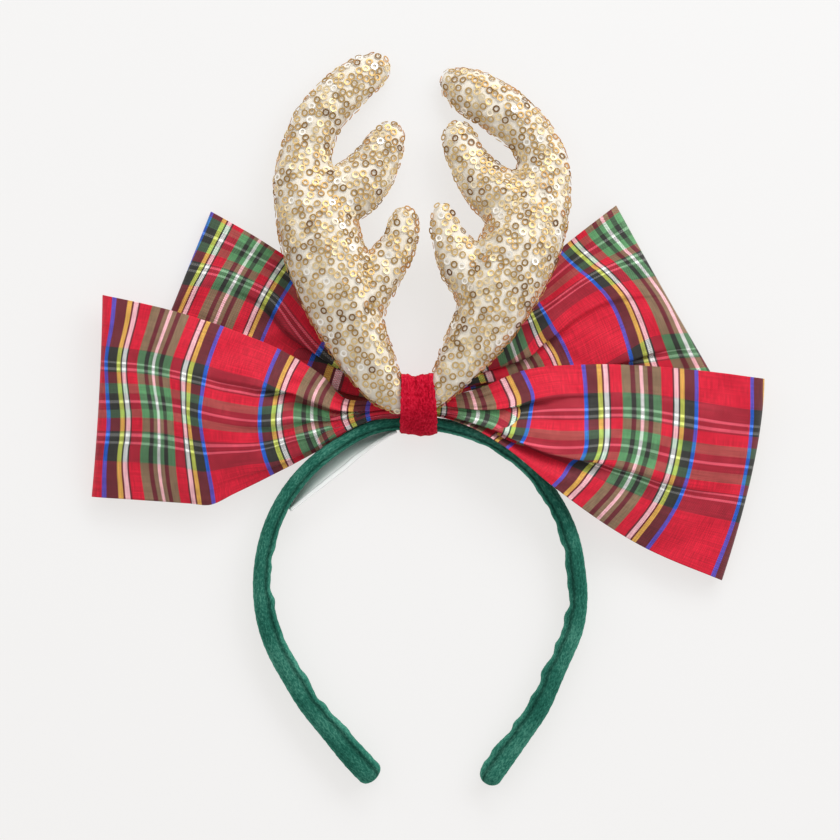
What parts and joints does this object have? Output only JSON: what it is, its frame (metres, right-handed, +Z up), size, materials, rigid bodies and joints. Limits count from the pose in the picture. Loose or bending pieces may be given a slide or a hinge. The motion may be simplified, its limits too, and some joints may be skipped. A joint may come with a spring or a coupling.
{
  "type": "antler headband",
  "caption": "Velvet Alice band with stuffed, sequinned antlers and layered tartan bows that a felt wrap holds at its crown; worn on the head as a festive costume piece.",
  "frame": {"origin": "on the surface that the headband lies on, under the crown of the band, on the wrap's flat underside", "axes": "+X across the band to the viewer's right, +Y from the band's open ends to the antler tips, +Z up, out of the face that carries the bows"},
  "size_m": [0.2696, 0.2915, 0.0272],
  "materials": {
    "velvet": "short pile, deep green",
    "satin_label": "plain white satin ribbon, blank",
    "tartan_back": "plain-weave tartan of red, green, blue, yellow, black and white",
    "tartan_front": "plain-weave tartan of red, green, blue, yellow, black and white",
    "sequin_cloth_left": "ivory cloth covered in loose gold ring sequins",
    "sequin_cloth_right": "ivory cloth covered in loose gold ring sequins",
    "felt": "matt red felt"
  },
  "bodies": {
    "root": {"headband": "velvet", "inner_label": "satin_label", "bow_back": "tartan_back", "bow_front": "tartan_front", "antler_left": "sequin_cloth_left", "antler_right": "sequin_cloth_right", "centre_wrap": "felt"}
  },
  "joints": []
}
